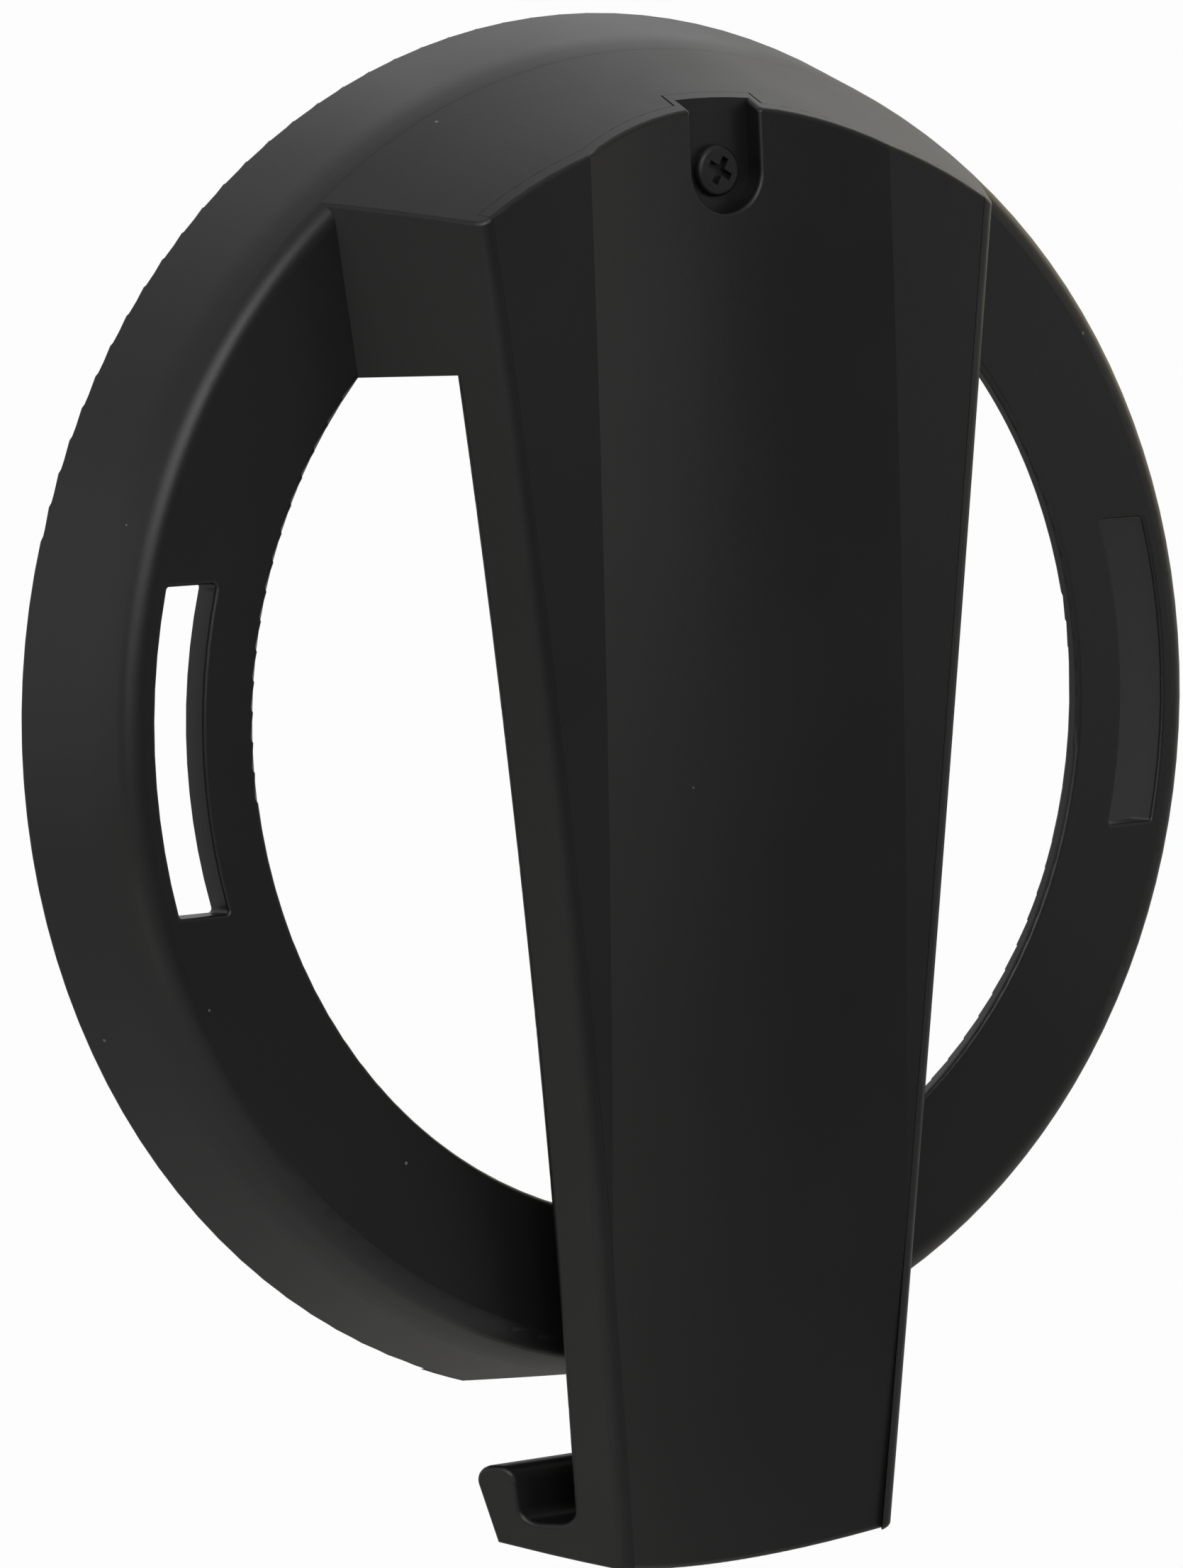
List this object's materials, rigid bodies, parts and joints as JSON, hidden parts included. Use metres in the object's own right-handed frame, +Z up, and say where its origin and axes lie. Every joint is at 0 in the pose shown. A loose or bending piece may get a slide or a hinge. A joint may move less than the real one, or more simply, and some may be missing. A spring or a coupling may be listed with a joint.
{
  "type": "cleat horn",
  "caption": "Ring base with a hooded, tapering horn across its open centre, a screwed fluted cover and a retaining hook at the foot.",
  "frame": {"origin": "centre of the ring, in the plane of the flange's front face", "axes": "+Y towards the wall, along the ring's axis; +Z up, the horn's foot points down; +X to the right seen from the front"},
  "size_m": [0.2122, 0.0392, 0.236],
  "materials": {
    "body": "fine-grained matt black moulding",
    "cover": "fine-grained matt black moulding",
    "screw": "black coated",
    "insert": "turned",
    "sleeve": "turned"
  },
  "bodies": {
    "root": {"body_moulding": "body", "horn_cover": "cover", "cover_screw": "screw", "cover_insert": "insert", "fixing_sleeve_left": "sleeve", "fixing_sleeve_right": "sleeve"}
  },
  "joints": []
}
